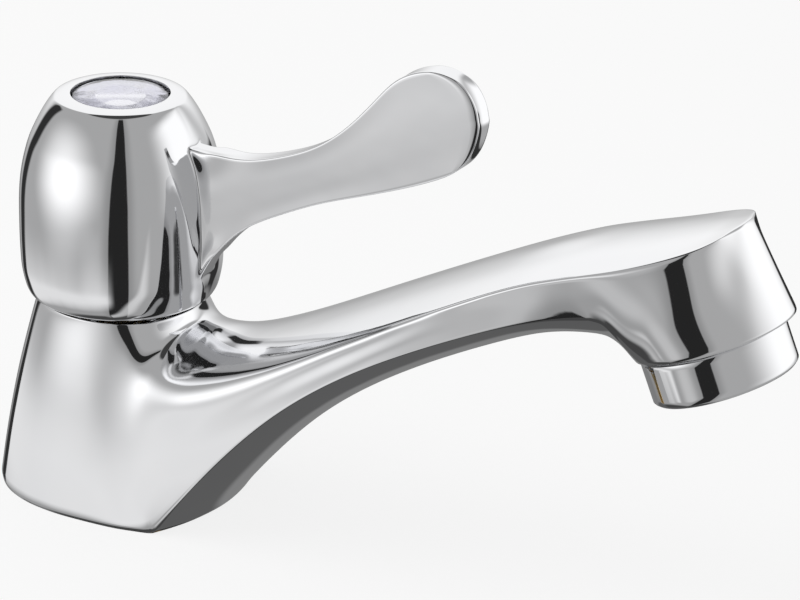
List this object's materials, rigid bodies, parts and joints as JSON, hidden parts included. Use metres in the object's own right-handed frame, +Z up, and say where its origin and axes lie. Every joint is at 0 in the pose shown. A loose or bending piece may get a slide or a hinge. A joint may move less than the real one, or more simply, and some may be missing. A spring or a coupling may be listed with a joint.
{
  "type": "single lever basin tap",
  "caption": "Chrome basin tap with a broad arched spout, an angled aerator, a barrel handle with a blade lever, a clear index button and a threaded tail.",
  "frame": {"origin": "on the deck surface under the base, on the axis shared by the handle, the valve and the tail", "axes": "+X from the handle axis along the spout, +Z up out of the deck, +Y to the left of the spout; symmetric about the XZ plane"},
  "size_m": [0.167, 0.0444, 0.1501],
  "materials": {
    "body_casting": "polished chrome plate",
    "handle_casting": "polished chrome plate",
    "aerator_shell": "polished chrome plate",
    "index_button": "clear, glossy",
    "button_backing": "bright foil",
    "button_bezel": "glossy",
    "aerator_mesh": "satin",
    "aerator_insert": "moulded",
    "aerator_washer": "matt",
    "inlet_tail": "machined",
    "tail_ring": "matt",
    "base_gasket": "matt",
    "deck_washer_rubber": "matt",
    "deck_washer_steel": "stamped",
    "backnut": "machined",
    "valve_body": "machined",
    "neck_ring": "matt",
    "seat_seal": "matt",
    "fixed_disc": "lapped",
    "moving_disc": "lapped",
    "spindle": "machined",
    "spindle_ring_lower": "matt",
    "spindle_ring_upper": "matt",
    "spindle_clip": "sprung",
    "spline_insert": "moulded",
    "lock_washer": "stamped",
    "handle_screw": "zinc plated"
  },
  "bodies": {
    "body": {"body_casting": "body_casting", "aerator_shell": "aerator_shell", "aerator_mesh": "aerator_mesh", "aerator_insert": "aerator_insert", "aerator_washer": "aerator_washer", "inlet_tail": "inlet_tail", "tail_ring": "tail_ring", "base_gasket": "base_gasket", "deck_washer_rubber": "deck_washer_rubber", "deck_washer_steel": "deck_washer_steel", "backnut": "backnut", "valve_body": "valve_body", "neck_ring": "neck_ring", "seat_seal": "seat_seal", "fixed_disc": "fixed_disc"},
    "handle": {"handle_casting": "handle_casting", "spline_insert": "spline_insert", "lock_washer": "lock_washer", "handle_screw": "handle_screw", "button_bezel": "button_bezel", "button_backing": "button_backing", "index_button": "index_button", "spindle": "spindle", "spindle_ring_lower": "spindle_ring_lower", "spindle_ring_upper": "spindle_ring_upper", "spindle_clip": "spindle_clip", "moving_disc": "moving_disc"}
  },
  "joints": [
    {"name": "handle_turn", "type": "hinge", "parent": "body", "child": "handle", "pos_m": [0, 0, 0.0412], "axis": [0, 0, 1], "range_deg": [0, 90]}
  ]
}
